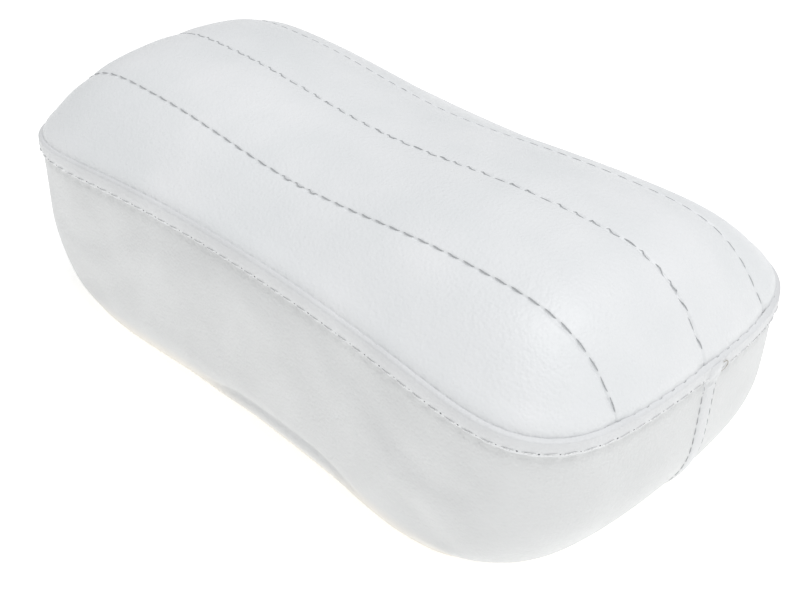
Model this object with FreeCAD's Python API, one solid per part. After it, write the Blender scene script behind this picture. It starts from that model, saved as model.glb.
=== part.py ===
"""Saddle-shaped rest cushion: sewn faux-leather cover over foam on a small base board.

The origin is on the floor under the middle of the cushion, +X runs along its length,
+Z is up, and all sizes are in millimetres.
"""
import FreeCAD, Part
import functools
import math
import os

from FreeCAD import Vector

# Plan of the cushion at the top seam.
LENGTH = 278.0  # between the corners of the two short ends
WIDTH = 150.0  # between the corners of the two long sides
END_BOW = 6.0  # how far each short end swells past its corners
WAIST = 7.5  # how far each long side pulls in at mid length
END_FLAT = 9.0  # from the middle line to where the corner of a short end starts
CORNER_POWER = 4.2  # 2 is a round corner, more is a squarer one

# Heights above the floor.
SEAM_HEIGHT = 80.0  # top seam at mid length
SEAM_FALL = 6.5  # how much lower the seam is at the short ends
DIP_HEIGHT = 88.5  # top at mid length, before the crown is added
HUMP_HEIGHT = 93.5  # top of the two humps, at the same place
HUMP_REACH = 76.5  # from mid length to the crest of a hump
CROWN = 12.0  # extra height along the middle line
EDGE_POWER = 4.4  # how full the top stays before it rolls down

# How the side rounds under at the floor.
UNDER_ROUND_END = 42.0
UNDER_ROUND_SIDE = 8.0

# Sewn cover.
COVER = 1.2  # thickness of the faux leather
FIT_GAP = 0.3  # between the cover and what it wraps
STRIP_DEPTH = 7.5  # height of the rolled edge strip
STRIP_PROUD = 1.4  # how far the rolled strip stands out from the side
STRIP_START = 0.5  # from the seam line down to the strip
CENTRE_SEAM = 2.0  # place of the middle top seam across the width
PANEL_NEAR = 42.0  # width of the inner panel on the near side of it
PANEL_FAR = 38.0  # width of the inner panel on the far side of it
PANEL_GAP = 0.4  # groove between two top panels
HEM_WIDTH = 16.0  # cover turned in under the base board
JOIN_WIDTH = 7.0  # cover strip over the ends of the side band
JOIN_PROUD = 0.8
JOIN_SHIFT = 4.0  # from the middle top seam to the middle of the join strip
JOIN_LOW = 6.0  # height at which the join strip turns under
JOIN_GAP = 0.1  # between the join strip and the band under it

# Inside.
BOARD = 6.0  # plywood thickness
BOARD_MARGIN = 3.0  # board edge to the inside of the cover
COMFORT = 12.0  # soft foam sheet over the core
BOTTOM_CLOTH = 0.8  # cloth under the board
CLOTH_MARGIN = 4.0  # cloth edge to the edge of the flat bottom

# Staples that hold the hem to the board.
STAPLE_SPAN = 10.0
STAPLE_WIRE = 0.5
STAPLE_LEG = 5.0
STAPLE_PITCH = 28.0
STAPLE_INSET = 8.0

# Stitches: thread radius, length of one stitch and distance to the next.
THREAD = 0.35
TOP_STITCH = 5.0
TOP_PITCH = 6.6
SEAM_STITCH = 3.0
SEAM_PITCH = 6.0
BAND_STITCH = 4.0
BAND_PITCH = 7.0
JOIN_STITCH = 3.0
JOIN_PITCH = 4.2

# Values that follow from the sizes above.
HALF_LENGTH = LENGTH / 2
HALF_WIDTH = WIDTH / 2
CORNER_SPAN = HALF_WIDTH - END_FLAT  # length of side that each rounded corner takes up
SEAM_LEFT = CENTRE_SEAM - PANEL_NEAR
SEAM_RIGHT = CENTRE_SEAM + PANEL_FAR
HEM_LEVEL = BOTTOM_CLOTH
BOARD_LEVEL = HEM_LEVEL + COVER
CORE_LEVEL = BOARD_LEVEL + BOARD
JOIN_CENTRE = CENTRE_SEAM + JOIN_SHIFT
JOIN_HIGH = SEAM_HEIGHT - SEAM_FALL - STRIP_START - STRIP_DEPTH - FIT_GAP
ROOF = HUMP_HEIGHT + CROWN + 20.0  # a level above everything

# How finely curves are worked out.
RINGS = 7  # levels in the rounding under
CORNER_STEPS = 6  # points in each corner
SIDE_STEPS = 3  # points on each straight side
GRID_X = 31
GRID_Y = 21
GRID_MARGIN = 8.0  # the top surfaces run this far past the seam
TRACE_STEPS = 240  # fine steps along a stitched line
JOIN_STEPS = 24  # steps down the join strip


def bowed(x, y, half_length=HALF_LENGTH, half_width=HALF_WIDTH):
    """Move a point of a straight-sided plan to the bowed and waisted one."""
    along = x / half_length
    across = y / half_width
    swell = END_BOW / half_length * (1 - min(across * across, 1))
    waist = WAIST / half_width * (1 - min(along * along, 1))
    return x * (1 + swell), y * (1 - waist)


def edge_share(x, y):
    """0 on the flat middle of the plan, 1 on the seam, more outside it."""
    near_end = max(0.0, (abs(x) - HALF_LENGTH + CORNER_SPAN) / CORNER_SPAN)
    near_side = max(0.0, (abs(y) - HALF_WIDTH + CORNER_SPAN) / CORNER_SPAN)
    return (near_end**CORNER_POWER + near_side**CORNER_POWER) ** (1 / CORNER_POWER)


def seam_height(x, y):
    """Height of the top seam, which rises a little towards mid length."""
    return SEAM_HEIGHT - SEAM_FALL * (x / HALF_LENGTH) ** 2


def crest_height(x, y):
    """Height of the saddle before its edges roll down to the seam."""
    reach = min(abs(x) / HUMP_REACH, 1.0)
    rise = (HUMP_HEIGHT - DIP_HEIGHT) * math.sin(math.pi / 2 * reach) ** 2
    crown = CROWN * (1 - (y / HALF_WIDTH) ** 2)
    return DIP_HEIGHT + rise + crown


def top_height(x, y):
    """Height of the cushion's top surface."""
    share = edge_share(x, y)
    seam = seam_height(x, y)
    return seam + (crest_height(x, y) - seam) * (1 - share**EDGE_POWER)


def plan_points(half_length, half_width, span):
    """Points of one rounded plan, counterclockwise, bowed and waisted."""
    straight_x = half_length - span
    straight_y = half_width - span
    corner = []
    for step in range(CORNER_STEPS + 1):
        angle = math.pi / 2 * step / CORNER_STEPS
        out_x = math.cos(angle) ** (2 / CORNER_POWER)
        out_y = math.sin(angle) ** (2 / CORNER_POWER)
        corner.append((straight_x + span * out_x, straight_y + span * out_y))
    quarter = [(half_length, straight_y * step / SIDE_STEPS) for step in range(SIDE_STEPS)]
    quarter += corner
    quarter += [(straight_x * (1 - step / SIDE_STEPS), half_width) for step in range(1, SIDE_STEPS)]
    points = list(quarter)
    points += [(-x, y) for x, y in [(0.0, half_width)] + quarter[:0:-1]]
    points += [(-x, -y) for x, y in quarter]
    points += [(x, -y) for x, y in [(0.0, half_width)] + quarter[:0:-1]]
    return [bowed(x, y, half_length, half_width) for x, y in points]


def shares_of_way():
    """How far round the seam each plan point lies, so that all plan curves run alike."""
    points = [Vector(x, y, 0) for x, y in plan_points(HALF_LENGTH, HALF_WIDTH, CORNER_SPAN)]
    shares = [0.0]
    for start, end in zip(points, points[1:] + points[:1]):
        shares.append(shares[-1] + (end - start).Length)
    return [share / shares[-1] for share in shares]


def ring(half_length, half_width, span, level):
    """Closed plan curve at one level."""
    curve = Part.BSplineCurve()
    points = [Vector(x, y, level) for x, y in plan_points(half_length, half_width, span)]
    curve.interpolate(Points=points, PeriodicFlag=True, Parameters=WAY)
    return Part.Wire([curve.toShape()])


def under_inset(height, radius):
    """How far a rounding of this radius has come in at a height above its lowest point."""
    if height >= radius:
        return 0.0
    return radius - math.sqrt(radius**2 - (radius - height) ** 2)


def plan_at(height, inset=0.0):
    """Half length, half width and corner span of the side at a height above its lowest point."""
    end = inset + under_inset(height, UNDER_ROUND_END - inset)
    side = inset + under_inset(height, UNDER_ROUND_SIDE - inset)
    return HALF_LENGTH - end, HALF_WIDTH - side, CORNER_SPAN - inset


def ring_at(height, inset):
    """Plan curve of the side, moved in by an inset, at a height above its lowest level."""
    half_length, half_width, span = plan_at(height, inset)
    return ring(half_length, half_width, span, HEM_LEVEL + inset + height)


@functools.cache
def body(inset):
    """Solid inside the side surface moved in by an inset, from its lowest level to the roof."""
    top = UNDER_ROUND_END - inset
    heights = [top * (1 - math.cos(math.pi / 2 * step / RINGS)) for step in range(RINGS + 1)]
    lower = Part.makeLoft([ring_at(height, inset) for height in heights], True)
    plan = Part.Face(ring_at(top, inset))
    upper = plan.extrude(Vector(0, 0, ROOF - HEM_LEVEL - UNDER_ROUND_END))
    return lower.fuse(upper)


def plate(half_length, half_width, span, low, high):
    """Flat plate with the cushion's plan shape."""
    face = Part.Face(ring(half_length, half_width, span, low))
    return face.extrude(Vector(0, 0, high - low))


def layer(height, upper, lower):
    """Solid between two copies of a height surface, moved by upper and lower."""
    grid = []
    for row in range(GRID_X):
        x = (HALF_LENGTH + GRID_MARGIN) * (2 * row / (GRID_X - 1) - 1)
        line = []
        for column in range(GRID_Y):
            y = (HALF_WIDTH + GRID_MARGIN) * (2 * column / (GRID_Y - 1) - 1)
            place_x, place_y = bowed(x, y)
            line.append(Vector(place_x, place_y, height(x, y) + upper))
        grid.append(line)
    surface = Part.BSplineSurface()
    surface.interpolate(grid)
    return surface.toShape().extrude(Vector(0, 0, lower - upper))


def slab(low_y, high_y):
    """Upright slab across the whole cushion between two places across its width."""
    size = Vector(4 * HALF_LENGTH, high_y - low_y, 2 * ROOF)
    return Part.makeBox(size.x, size.y, size.z, Vector(-size.x / 2, low_y, -ROOF / 2))


def walk(points, pitch):
    """Places and directions at equal steps along a line of points."""
    places = []
    travelled = 0.0
    due = pitch / 2
    for start, end in zip(points, points[1:]):
        run = (end - start).Length
        while run > 0 and due <= travelled + run:
            share = (due - travelled) / run
            places.append((start + (end - start) * share, (end - start).normalize()))
            due += pitch
        travelled += run
    return places


def stitches(points, length, pitch):
    """Row of separate thread pieces lying along a line of points."""
    threads = []
    for place, direction in walk(points, pitch):
        threads.append(Part.makeCylinder(THREAD, length, place - direction * (length / 2), direction))
    return Part.makeCompound(threads)


def seam_trace(outset, drop):
    """Fine closed line round the cushion at a drop below the top seam."""
    corners = plan_points(HALF_LENGTH + outset, HALF_WIDTH + outset, CORNER_SPAN + outset)
    flat = Part.BSplineCurve()
    flat.interpolate(Points=[Vector(x, y, 0) for x, y in corners], PeriodicFlag=True)
    points = flat.discretize(Number=TRACE_STEPS)
    return [Vector(p.x, p.y, seam_height(p.x, p.y) - drop) for p in points]


def top_trace(y, lift):
    """Line along the top surface at one place across the width."""
    points = []
    for step in range(TRACE_STEPS + 1):
        x = (HALF_LENGTH - STRIP_PROUD) * (2 * step / TRACE_STEPS - 1)
        straight_y = y / (1 - WAIST / HALF_WIDTH * (1 - (x / HALF_LENGTH) ** 2))
        place_x = bowed(x, straight_y)[0]
        points.append(Vector(place_x, y, top_height(x, straight_y) + lift))
    return points


def join_trace(y, outset):
    """Line down the near short end at one place across the width, from strip to floor."""
    points = []
    for step in range(JOIN_STEPS + 1):
        level = JOIN_HIGH + (JOIN_LOW - JOIN_HIGH) * step / JOIN_STEPS
        half_length, half_width, _ = plan_at(level - HEM_LEVEL + outset, -outset)
        x, _ = bowed(half_length, y, half_length, half_width)
        points.append(Vector(x, y, level))
    return points


def top_panels():
    """Four lengthwise panels of the top, with a narrow groove between them."""
    cover = body(0).common(layer(top_height, 0, -COVER))
    half_gap = PANEL_GAP / 2
    return {
        "top_panel_left": cover.common(slab(-WIDTH, SEAM_LEFT - half_gap)),
        "top_panel_inner_left": cover.common(slab(SEAM_LEFT + half_gap, CENTRE_SEAM - half_gap)),
        "top_panel_inner_right": cover.common(slab(CENTRE_SEAM + half_gap, SEAM_RIGHT - half_gap)),
        "top_panel_right": cover.common(slab(SEAM_RIGHT + half_gap, WIDTH)),
    }


def staple_places():
    """Places and directions of the staples round the flat bottom."""
    half_length, half_width, span = plan_at(0)
    points = plan_points(half_length - STAPLE_INSET, half_width - STAPLE_INSET, span - STAPLE_INSET)
    flat = [Vector(x, y, HEM_LEVEL) for x, y in points + points[:1]]
    return walk(flat, STAPLE_PITCH)


def staples():
    """Wire staples with their backs level with the underside of the hem."""
    back = Part.makeBox(STAPLE_SPAN, STAPLE_WIRE, STAPLE_WIRE, Vector(-STAPLE_SPAN / 2, -STAPLE_WIRE / 2, 0))
    solids = []
    for place, direction in staple_places():
        one = back
        for side in (-STAPLE_SPAN / 2, STAPLE_SPAN / 2 - STAPLE_WIRE):
            corner = Vector(side, -STAPLE_WIRE / 2, 0)
            one = one.fuse(Part.makeBox(STAPLE_WIRE, STAPLE_WIRE, STAPLE_LEG, corner))
        one = one.removeSplitter()
        turn = math.degrees(math.atan2(direction.y, direction.x))
        one.Placement = FreeCAD.Placement(place, FreeCAD.Rotation(Vector(0, 0, 1), turn))
        solids.append(one)
    return Part.makeCompound(solids)


def side_band(pins):
    """Deep side wall that rounds under and turns in as a hem below the board."""
    half_length, half_width, span = plan_at(0)
    opening = plate(half_length - HEM_WIDTH, half_width - HEM_WIDTH, span - HEM_WIDTH, -COVER, CORE_LEVEL)
    shell = body(0).cut(body(COVER)).cut(opening)
    return shell.common(layer(top_height, -COVER, -2 * ROOF)).cut(pins)


def rolled_edge():
    """Narrow strip that stands proud all round, just under the top seam."""
    collar = body(-STRIP_PROUD).cut(body(0))
    return collar.common(layer(seam_height, -STRIP_START, -STRIP_START - STRIP_DEPTH))


def band_join():
    """Upright cover strip over the meeting ends of the side band."""
    low_y = JOIN_CENTRE - JOIN_WIDTH / 2
    edges = []
    for outset in (JOIN_GAP, JOIN_GAP + JOIN_PROUD):
        curve = Part.BSplineCurve()
        curve.interpolate(join_trace(low_y, outset))
        edges.append(curve.toShape())
    for end in (0, 1):
        edges.append(Part.makeLine(edges[0].Vertexes[end].Point, edges[1].Vertexes[end].Point))
    profile = Part.Face(Part.Wire(Part.__sortEdges__(edges)))
    across = join_trace(low_y + JOIN_WIDTH, JOIN_GAP)[0] - join_trace(low_y, JOIN_GAP)[0]
    return profile.extrude(across)


def base_board(pins):
    """Plywood plate inside the flat bottom."""
    half_length, half_width, span = plan_at(0, COVER)
    outline = (half_length - BOARD_MARGIN, half_width - BOARD_MARGIN, span - BOARD_MARGIN)
    board = plate(*outline, BOARD_LEVEL, CORE_LEVEL)
    return board.cut(pins)


def filling(upper, lower):
    """Foam inside the cover between two depths below the top surface."""
    inside = body(COVER + FIT_GAP)
    return inside.common(layer(top_height, -upper, -lower))


def foam_core():
    """Firm foam block that stands on the board."""
    block = filling(COVER + COMFORT + 2 * FIT_GAP, 2 * ROOF)
    under = Part.makeBox(2 * LENGTH, 2 * WIDTH, CORE_LEVEL, Vector(-LENGTH, -WIDTH, 0))
    return block.cut(under)


def bottom_cloth():
    """Thin cloth that closes the underside over the hem."""
    half_length, half_width, span = plan_at(0)
    return plate(half_length - CLOTH_MARGIN, half_width - CLOTH_MARGIN, span - CLOTH_MARGIN, 0, BOTTOM_CLOTH)


def thread_rows():
    """Every visible row of stitches, each lying just on the surface it holds."""
    rest = THREAD
    edge = JOIN_WIDTH / 2 + THREAD
    strip_bottom = STRIP_START + STRIP_DEPTH + THREAD
    return {
        "stitches_top_left": stitches(top_trace(SEAM_LEFT, rest), TOP_STITCH, TOP_PITCH),
        "stitches_top_middle": stitches(top_trace(CENTRE_SEAM, rest), TOP_STITCH, TOP_PITCH),
        "stitches_top_right": stitches(top_trace(SEAM_RIGHT, rest), TOP_STITCH, TOP_PITCH),
        "stitches_edge_seam": stitches(seam_trace(rest, 0), SEAM_STITCH, SEAM_PITCH),
        "stitches_band_row": stitches(seam_trace(rest, strip_bottom), BAND_STITCH, BAND_PITCH),
        "stitches_join_left": stitches(join_trace(JOIN_CENTRE - edge, rest), JOIN_STITCH, JOIN_PITCH),
        "stitches_join_right": stitches(join_trace(JOIN_CENTRE + edge, rest), JOIN_STITCH, JOIN_PITCH),
    }


WAY = shares_of_way()


def main():
    """Build every sub-part and write one STEP file for each."""
    os.makedirs("parts", exist_ok=True)
    pins = staples()
    parts = top_panels()
    parts["rolled_edge"] = rolled_edge()
    parts["side_band"] = side_band(pins)
    parts["band_join"] = band_join()
    parts["bottom_cloth"] = bottom_cloth()
    parts["base_board"] = base_board(pins)
    parts["staples"] = pins
    parts["foam_core"] = foam_core()
    parts["comfort_layer"] = filling(COVER + FIT_GAP, COVER + FIT_GAP + COMFORT)
    parts.update(thread_rows())
    for name, shape in parts.items():
        shape.exportStep(f"parts/{name}.step")
        box = shape.BoundBox
        print(f"{name}: {len(shape.Solids)} solids, {shape.Volume / 1000:.1f} cm3, valid {shape.isValid()}, "
              f"z {box.ZMin:.1f} to {box.ZMax:.1f}, x {box.XMin:.1f} to {box.XMax:.1f}")


main()
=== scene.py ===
import logging
import math
from dataclasses import dataclass, field
from enum import Enum
from typing import Callable, Iterable

import bmesh
import bpy
import numpy as np
from mathutils import Matrix, Vector, noise
from mathutils.bvhtree import BVHTree
from mathutils.kdtree import KDTree


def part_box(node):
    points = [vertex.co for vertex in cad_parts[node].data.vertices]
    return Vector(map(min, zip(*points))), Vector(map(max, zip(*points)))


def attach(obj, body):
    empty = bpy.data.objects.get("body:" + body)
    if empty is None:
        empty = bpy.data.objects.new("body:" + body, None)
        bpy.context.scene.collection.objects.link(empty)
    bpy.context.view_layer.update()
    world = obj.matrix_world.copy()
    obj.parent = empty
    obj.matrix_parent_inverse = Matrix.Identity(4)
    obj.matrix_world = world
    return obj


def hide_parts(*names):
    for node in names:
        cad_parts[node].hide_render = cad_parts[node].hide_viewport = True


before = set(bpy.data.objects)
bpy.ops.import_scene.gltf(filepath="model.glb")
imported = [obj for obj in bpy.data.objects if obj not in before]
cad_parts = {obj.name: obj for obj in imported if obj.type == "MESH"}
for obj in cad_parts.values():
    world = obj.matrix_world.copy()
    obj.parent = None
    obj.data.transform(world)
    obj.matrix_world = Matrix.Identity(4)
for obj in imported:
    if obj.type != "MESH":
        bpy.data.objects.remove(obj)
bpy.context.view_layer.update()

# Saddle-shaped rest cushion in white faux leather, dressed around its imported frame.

logging.basicConfig(level=logging.INFO, format="%(message)s")
LOG = logging.getLogger("cushion")

MM = 0.001
BODY = "root"


# ---------------------------------------------------------------------------
# Finishes
# ---------------------------------------------------------------------------

def linear(code: str) -> tuple[float, float, float, float]:
    """Turn an sRGB hex colour into the linear one that shaders want.

    Args:
        code: Six hex digits, with or without a leading #.

    Returns:
        Red, green, blue and alpha, linear.
    """
    digits = code.lstrip("#")
    parts = [int(digits[at:at + 2], 16) / 255 for at in (0, 2, 4)]
    made = [part / 12.92 if part <= 0.04045 else ((part + 0.055) / 1.055) ** 2.4 for part in parts]
    return (*made, 1.0)


def add_node(tree: bpy.types.NodeTree, kind: str, settings: dict | None = None,
             links: dict | None = None) -> bpy.types.Node:
    """Add one node with its settings and its incoming links.

    Args:
        tree: Node tree that gets the node.
        kind: The node's type name.
        settings: Attribute names, or input names and numbers, with their values.
        links: Input names or numbers with the output sockets that feed them.

    Returns:
        The new node.
    """
    made = tree.nodes.new(kind)
    for name, value in (settings or {}).items():
        if isinstance(name, str) and hasattr(made, name):
            setattr(made, name, value)
        else:
            made.inputs[name].default_value = value
    for name, socket in (links or {}).items():
        tree.links.new(socket, made.inputs[name])
    return made


def ramp(node: bpy.types.Node, stops: Iterable[tuple[float, float]]) -> bpy.types.Node:
    """Set a colour ramp's grey stops.

    Args:
        node: The colour ramp node.
        stops: Places and grey values, two or more.

    Returns:
        The same node.
    """
    points = node.color_ramp.elements
    for index, (place, grey) in enumerate(stops):
        point = points[index] if index < len(points) else points.new(place)
        point.position = place
        point.color = (grey, grey, grey, 1.0)
    return node


def shaded(tree: bpy.types.NodeTree, colour: str, value: bpy.types.NodeSocket,
           stops: Iterable[tuple[float, float]]) -> bpy.types.NodeSocket:
    """Darken a colour by the grey that a pattern's value is ramped to.

    Args:
        tree: Node tree that gets the nodes.
        colour: The colour as sRGB hex.
        value: The pattern's output.
        stops: Places and grey values of the ramp.

    Returns:
        The output with the darkened colour.
    """
    shade = ramp(add_node(tree, "ShaderNodeValToRGB", links={"Fac": value}), stops)
    tint = add_node(tree, "ShaderNodeMix", {
        "data_type": "RGBA", "blend_type": "MULTIPLY", 0: 1.0, 6: linear(colour)},
        {7: shade.outputs["Color"]})
    return tint.outputs[2]


def new_material(name: str) -> tuple[bpy.types.Material, bpy.types.NodeTree, bpy.types.NodeSocket,
                                     bpy.types.NodeSocket]:
    """Make an empty node material.

    Args:
        name: The material's name.

    Returns:
        The material, its node tree, the object coordinates and the surface input.
    """
    made = bpy.data.materials.new(name)
    made.use_nodes = True
    made.node_tree.nodes.clear()
    output = made.node_tree.nodes.new("ShaderNodeOutputMaterial")
    place = add_node(made.node_tree, "ShaderNodeTexCoord").outputs["Object"]
    return made, made.node_tree, place, output.inputs["Surface"]


@dataclass(frozen=True)
class FauxLeather:
    """PU on a knitted backing, embossed with a fine round grain.

    The eye gets a soft satin sheen that breaks up into tiny pebbles near a highlight, and
    slightly cooler and warmer patches where the sheet is stretched over the foam.
    """

    name: str
    light: str
    shade: str
    # The warm colour is painted light: the bright, warm bounce from the glowing paper on the leather
    # where it rounds under.
    warm: str = "f0ebe2"
    bounce_light_below_mm: float = 0.0
    pebble_mm: float = 1.15
    pebble_depth_mm: float = 0.20
    patch_mm: float = 34.0
    roughness: float = 0.43

    def material(self) -> bpy.types.Material:
        """Build the node material."""
        made, tree, place, surface = new_material(self.name)
        pebbles = add_node(tree, "ShaderNodeTexVoronoi", {
            "feature": "SMOOTH_F1", "Scale": 1 / (self.pebble_mm * MM), "Smoothness": 0.6,
            "Randomness": 0.9}, {"Vector": place})
        pits = add_node(tree, "ShaderNodeTexNoise", {
            "Scale": 1 / (2.3 * self.pebble_mm * MM), "Detail": 3.0, "Roughness": 0.6},
            {"Vector": place})
        patches = add_node(tree, "ShaderNodeTexNoise", {
            "Scale": 1 / (self.patch_mm * MM), "Detail": 2.0, "Roughness": 0.5}, {"Vector": place})
        blend = ramp(add_node(tree, "ShaderNodeValToRGB", links={"Fac": patches.outputs["Fac"]}),
                     ((0.35, 0.0), (0.68, 1.0)))
        colour = add_node(tree, "ShaderNodeMix", {
            "data_type": "RGBA", 6: linear(self.shade), 7: linear(self.light)},
            {0: blend.outputs["Color"]})
        shown = colour.outputs[2]
        # Painted light: towards the floor the colour is blended into the warm tint, for the bounce from
        # the glowing paper.
        if self.bounce_light_below_mm > 0:
            height = add_node(tree, "ShaderNodeSeparateXYZ", links={"Vector": place}).outputs["Z"]
            low = add_node(tree, "ShaderNodeMapRange", {
                "interpolation_type": "SMOOTHSTEP", "From Min": self.bounce_light_below_mm * MM,
                "From Max": 0.35 * self.bounce_light_below_mm * MM, "To Min": 0.0, "To Max": 1.0},
                {"Value": height})
            shown = add_node(tree, "ShaderNodeMix", {"data_type": "RGBA", 7: linear(self.warm)},
                             {0: low.outputs["Result"], 6: shown}).outputs[2]
        rough = add_node(tree, "ShaderNodeMapRange", {
            "From Min": 0.3, "From Max": 0.7, "To Min": self.roughness - 0.05,
            "To Max": self.roughness + 0.07}, {"Value": pits.outputs["Fac"]})
        relief = add_node(tree, "ShaderNodeMath", {"operation": "MULTIPLY_ADD", 1: -1.0},
                          {0: pebbles.outputs["Distance"], 2: pits.outputs["Fac"]})
        bump = add_node(tree, "ShaderNodeBump", {
            "Strength": 0.8, "Distance": self.pebble_depth_mm * MM}, {"Height": relief.outputs[0]})
        skin = add_node(tree, "ShaderNodeBsdfPrincipled", {
            "IOR": 1.5, "Specular IOR Level": 0.42, "Sheen Weight": 0.08, "Sheen Roughness": 0.5,
            "Coat Weight": 0.06, "Coat Roughness": 0.32},
            {"Base Color": shown, "Roughness": rough.outputs["Result"],
             "Normal": bump.outputs["Normal"]})
        tree.links.new(skin.outputs["BSDF"], surface)
        return made


@dataclass(frozen=True)
class SewingThread:
    """Bonded polyester thread, three plies twisted, with a faint silky gloss."""

    name: str
    colour: str
    ply_mm: float = 0.5

    def material(self) -> bpy.types.Material:
        """Build the node material."""
        made, tree, place, surface = new_material(self.name)
        twist = add_node(tree, "ShaderNodeTexNoise", {
            "Scale": 1 / (self.ply_mm * MM), "Detail": 2.0}, {"Vector": place})
        tint = shaded(tree, self.colour, twist.outputs["Fac"], ((0.3, 0.72), (0.7, 1.0)))
        bump = add_node(tree, "ShaderNodeBump", {"Strength": 0.3, "Distance": 0.03 * MM},
                        {"Height": twist.outputs["Fac"]})
        body = add_node(tree, "ShaderNodeBsdfPrincipled", {
            "Roughness": 0.55, "Sheen Weight": 0.3, "Sheen Roughness": 0.4},
            {"Base Color": tint, "Normal": bump.outputs["Normal"]})
        tree.links.new(body.outputs["BSDF"], surface)
        return made


@dataclass(frozen=True)
class LiningCloth:
    """Plain-woven cotton lining: matt, warm white, with a fine square thread pattern.

    The threads are drawn 0.8 mm apart, about twice the real spacing, so that they show.
    """

    name: str = "lining_cloth_plain_weave"
    colour: str = "efe8dc"
    thread_mm: float = 0.8

    def material(self) -> bpy.types.Material:
        """Build the node material."""
        made, tree, place, surface = new_material(self.name)
        waves = [add_node(tree, "ShaderNodeTexWave", {
            "bands_direction": axis, "Scale": 1 / (6.28 * self.thread_mm * MM), "Distortion": 0.4,
            "Detail": 1.0}, {"Vector": place}) for axis in ("X", "Y")]
        weave = add_node(tree, "ShaderNodeMath", {"operation": "MULTIPLY"},
                         {0: waves[0].outputs["Fac"], 1: waves[1].outputs["Fac"]})
        tint = shaded(tree, self.colour, weave.outputs[0], ((0.0, 0.84), (0.6, 1.0)))
        bump = add_node(tree, "ShaderNodeBump", {"Strength": 0.6, "Distance": 0.1 * MM},
                        {"Height": weave.outputs[0]})
        cloth = add_node(tree, "ShaderNodeBsdfPrincipled", {
            "Roughness": 0.9, "Sheen Weight": 0.25, "Sheen Roughness": 0.6},
            {"Base Color": tint, "Normal": bump.outputs["Normal"]})
        tree.links.new(cloth.outputs["BSDF"], surface)
        return made


@dataclass(frozen=True)
class OpenCellFoam:
    """Cut polyurethane foam: matt, a little yellow, pitted with open cells."""

    name: str
    colour: str
    cell_mm: float = 1.4

    def material(self) -> bpy.types.Material:
        """Build the node material."""
        made, tree, place, surface = new_material(self.name)
        cells = add_node(tree, "ShaderNodeTexVoronoi", {"Scale": 1 / (self.cell_mm * MM)},
                         {"Vector": place})
        tint = shaded(tree, self.colour, cells.outputs["Distance"], ((0.05, 1.0), (0.55, 0.7)))
        bump = add_node(tree, "ShaderNodeBump", {"Strength": 0.8, "Distance": 0.3 * MM, "invert": True},
                        {"Height": cells.outputs["Distance"]})
        foam = add_node(tree, "ShaderNodeBsdfPrincipled", {"Roughness": 0.95},
                        {"Base Color": tint, "Normal": bump.outputs["Normal"]})
        tree.links.new(foam.outputs["BSDF"], surface)
        return made


@dataclass(frozen=True)
class Plywood:
    """Rotary-cut birch plywood: pale, with long cathedral grain along the board."""

    name: str = "birch_plywood"
    light: str = "d9bf94"
    dark: str = "b48f5e"
    grain_mm: float = 7.0

    def material(self) -> bpy.types.Material:
        """Build the node material."""
        made, tree, place, surface = new_material(self.name)
        along = add_node(tree, "ShaderNodeMapping", {"Scale": (0.12, 1.0, 1.0)}, {"Vector": place})
        rings = add_node(tree, "ShaderNodeTexWave", {
            "bands_direction": "Y", "Scale": 1 / (6.28 * self.grain_mm * MM), "Distortion": 6.0,
            "Detail": 3.0, "Detail Scale": 1.5}, {"Vector": along.outputs["Vector"]})
        tint = add_node(tree, "ShaderNodeMix", {
            "data_type": "RGBA", 6: linear(self.light), 7: linear(self.dark)}, {0: rings.outputs["Fac"]})
        bump = add_node(tree, "ShaderNodeBump", {"Strength": 0.3, "Distance": 0.1 * MM},
                        {"Height": rings.outputs["Fac"]})
        wood = add_node(tree, "ShaderNodeBsdfPrincipled", {"Roughness": 0.7},
                        {"Base Color": tint.outputs[2], "Normal": bump.outputs["Normal"]})
        tree.links.new(wood.outputs["BSDF"], surface)
        return made


@dataclass(frozen=True)
class StapleWire:
    """Galvanised steel wire: bright grey with a dull zinc bloom."""

    name: str = "galvanised_wire"
    colour: str = "b9bcc0"

    def material(self) -> bpy.types.Material:
        """Build the node material."""
        made, tree, place, surface = new_material(self.name)
        bloom = add_node(tree, "ShaderNodeTexNoise", {"Scale": 1 / (1.2 * MM), "Detail": 3.0},
                         {"Vector": place})
        rough = add_node(tree, "ShaderNodeMapRange", {"To Min": 0.28, "To Max": 0.5},
                         {"Value": bloom.outputs["Fac"]})
        wire = add_node(tree, "ShaderNodeBsdfPrincipled", {
            "Base Color": linear(self.colour), "Metallic": 1.0}, {"Roughness": rough.outputs["Result"]})
        tree.links.new(wire.outputs["BSDF"], surface)
        return made


@dataclass(frozen=True)
class NeedleHole:
    """Shadow inside a needle hole: a dull, dark grey with a little leather dust."""

    name: str = "needle_hole_shadow"
    colour: str = "74777a"

    def material(self) -> bpy.types.Material:
        """Build the node material."""
        made, tree, place, surface = new_material(self.name)
        dust = add_node(tree, "ShaderNodeTexNoise", {"Scale": 1 / (0.3 * MM), "Detail": 2.0},
                        {"Vector": place})
        tint = shaded(tree, self.colour, dust.outputs["Fac"], ((0.3, 0.7), (0.7, 1.0)))
        pit = add_node(tree, "ShaderNodeBsdfPrincipled", {"Roughness": 0.9, "Specular IOR Level": 0.1},
                       {"Base Color": tint})
        tree.links.new(pit.outputs["BSDF"], surface)
        return made


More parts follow.
